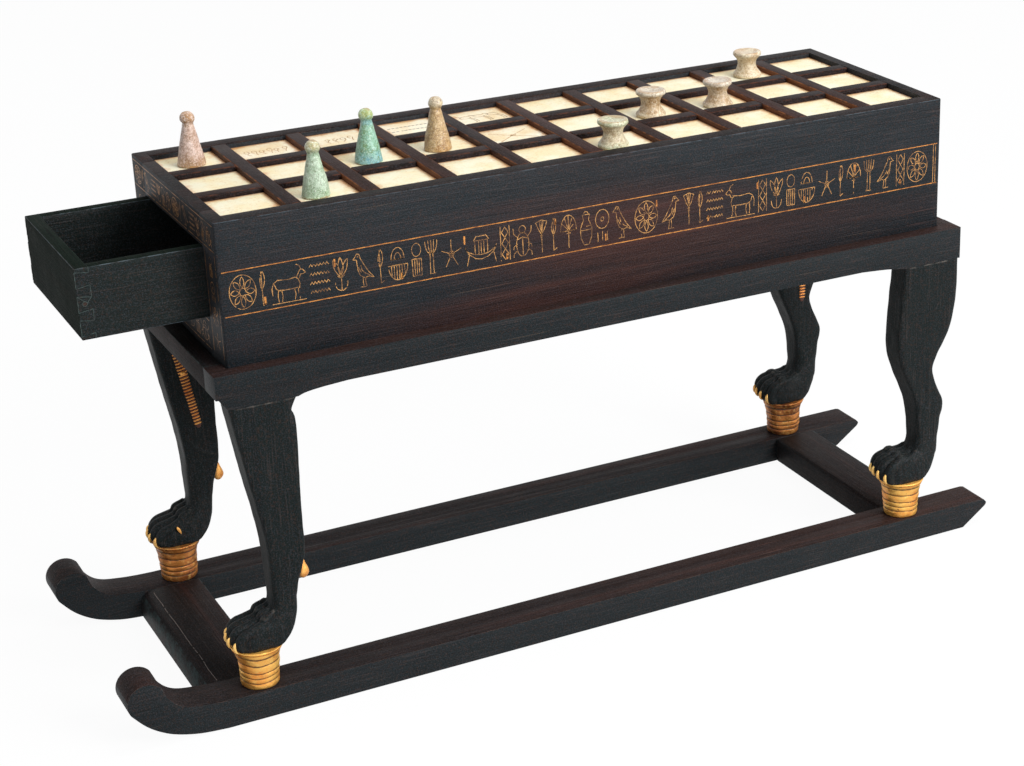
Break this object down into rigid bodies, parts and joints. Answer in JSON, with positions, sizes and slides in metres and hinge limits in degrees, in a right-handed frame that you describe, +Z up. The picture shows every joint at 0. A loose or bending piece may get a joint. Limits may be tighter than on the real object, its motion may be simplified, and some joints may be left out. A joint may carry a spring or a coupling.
{
  "type": "senet board",
  "caption": "Long ebony game box with ivory squares and a drawer, on a stand with lion's legs and sledge runners, with playing pieces.",
  "frame": {"origin": "middle of the bounding box at floor level, under the runners", "axes": "+X along the board away from the drawer end, +Y across it, +Z up"},
  "size_m": [0.5745, 0.182, 0.3187],
  "materials": {
    "ebony": "oiled ebony with fine grain and worn edges",
    "strip_ebony": "browner ebony, matt",
    "gilt": "gold leaf over wood, burnished, darker in the grooves",
    "ivory": "polished ivory, stained at the edges",
    "peg_wood": "plain wood",
    "cone_pink_glaze": "worn faience",
    "cone_green_glaze": "worn faience",
    "cone_turquoise_glaze": "worn faience",
    "cone_tan_glaze": "worn faience",
    "spool_green_glaze": "worn faience",
    "spool_cream_glaze": "worn faience",
    "spool_white_glaze": "worn faience",
    "spool_brown_glaze": "worn faience"
  },
  "bodies": {
    "stand": {"runner_near": "ebony", "runner_far": "ebony", "crossbar_front": "ebony", "crossbar_hind": "ebony", "drum_front_near": "gilt", "drum_front_far": "gilt", "drum_hind_near": "gilt", "drum_hind_far": "gilt", "leg_front_near": "ebony", "leg_front_far": "ebony", "leg_hind_near": "ebony", "leg_hind_far": "ebony", "foot_dowels": "peg_wood", "claws": "gilt", "dewclaws": "gilt", "rib_inlays": "gilt", "rail_near": "ebony", "rail_far": "ebony", "rail_head": "ebony", "rail_tail": "ebony"},
    "box": {"side_near": "ebony", "side_far": "ebony", "tail_board": "ebony", "top_rail": "ebony", "bottom_rail": "ebony", "stile_near": "ebony", "stile_far": "ebony", "top_board": "ebony", "bottom_board": "ebony", "corner_dowels": "peg_wood", "long_strips": "strip_ebony", "cross_strips": "strip_ebony", "plain_squares": "ivory", "marked_squares": "ivory", "drawer_runners": "ebony", "drawer_guides": "ebony", "drawer_stop": "ebony"},
    "drawer": {"drawer_front": "ebony", "drawer_back": "ebony", "drawer_side_near": "ebony", "drawer_side_far": "ebony", "drawer_bottom": "ebony", "drawer_pegs": "peg_wood"},
    "cone_pink": {"cone_pink": "cone_pink_glaze"},
    "cone_green": {"cone_green": "cone_green_glaze"},
    "cone_turquoise": {"cone_turquoise": "cone_turquoise_glaze"},
    "cone_tan": {"cone_tan": "cone_tan_glaze"},
    "spool_green": {"spool_green": "spool_green_glaze"},
    "spool_cream": {"spool_cream": "spool_cream_glaze"},
    "spool_white": {"spool_white": "spool_white_glaze"},
    "spool_brown": {"spool_brown": "spool_brown_glaze"}
  },
  "joints": [
    {"name": "box_lift", "type": "slide", "parent": "stand", "child": "box", "axis": [0, 0, 1], "range_m": [0, 0.1]},
    {"name": "drawer_slide", "type": "slide", "parent": "box", "child": "drawer", "axis": [-1, 0, 0], "range_m": [-0.069, 0.1]},
    {"name": "cone_pink_lift", "type": "slide", "parent": "box", "child": "cone_pink", "axis": [0, 0, 1], "range_m": [0, 0.06]},
    {"name": "cone_green_lift", "type": "slide", "parent": "box", "child": "cone_green", "axis": [0, 0, 1], "range_m": [0, 0.06]},
    {"name": "cone_turquoise_lift", "type": "slide", "parent": "box", "child": "cone_turquoise", "axis": [0, 0, 1], "range_m": [0, 0.06]},
    {"name": "cone_tan_lift", "type": "slide", "parent": "box", "child": "cone_tan", "axis": [0, 0, 1], "range_m": [0, 0.06]},
    {"name": "spool_green_lift", "type": "slide", "parent": "box", "child": "spool_green", "axis": [0, 0, 1], "range_m": [0, 0.06]},
    {"name": "spool_cream_lift", "type": "slide", "parent": "box", "child": "spool_cream", "axis": [0, 0, 1], "range_m": [0, 0.06]},
    {"name": "spool_white_lift", "type": "slide", "parent": "box", "child": "spool_white", "axis": [0, 0, 1], "range_m": [0, 0.06]},
    {"name": "spool_brown_lift", "type": "slide", "parent": "box", "child": "spool_brown", "axis": [0, 0, 1], "range_m": [0, 0.06]}
  ]
}
